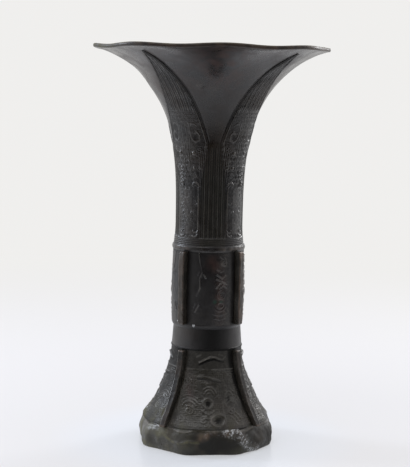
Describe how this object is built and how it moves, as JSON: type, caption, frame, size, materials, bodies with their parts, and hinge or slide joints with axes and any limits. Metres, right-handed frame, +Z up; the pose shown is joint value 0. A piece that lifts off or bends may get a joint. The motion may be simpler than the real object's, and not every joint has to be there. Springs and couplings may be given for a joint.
{
  "type": "beaker vase",
  "caption": "Tall bronze beaker vase of gu form: lobed trumpet mouth, slender neck, flanged knop and flared octagonal foot.",
  "frame": {"origin": "middle of the foot ring's underside, on the surface that the vase stands on", "axes": "+Z up through the mouth; -Y towards the front panel, midway between two flanges; +X to the right of that panel"},
  "size_m": [0.1482, 0.1482, 0.25],
  "materials": {
    "dark_bronze": "near-black patinated bronze with a soft purple-grey sheen and fine cast relief",
    "earthy_bronze": "dark patinated bronze with olive and whitish encrustation towards the bottom",
    "worn_bronze": "dark bronze worn brown and coppery along the edges",
    "grey_solder": "dull grey soft solder, hidden inside the well"
  },
  "bodies": {
    "root": {"neck_and_mouth": "dark_bronze", "knop": "dark_bronze", "foot": "earthy_bronze", "well_floor": "earthy_bronze", "neck_joint_solder": "grey_solder", "well_floor_solder": "grey_solder", "knop_flange_right_back": "worn_bronze", "knop_flange_left_back": "worn_bronze", "knop_flange_left_front": "worn_bronze", "knop_flange_right_front": "worn_bronze", "foot_flange_right_back": "worn_bronze", "foot_flange_left_back": "worn_bronze", "foot_flange_left_front": "worn_bronze", "foot_flange_right_front": "worn_bronze"}
  },
  "joints": []
}
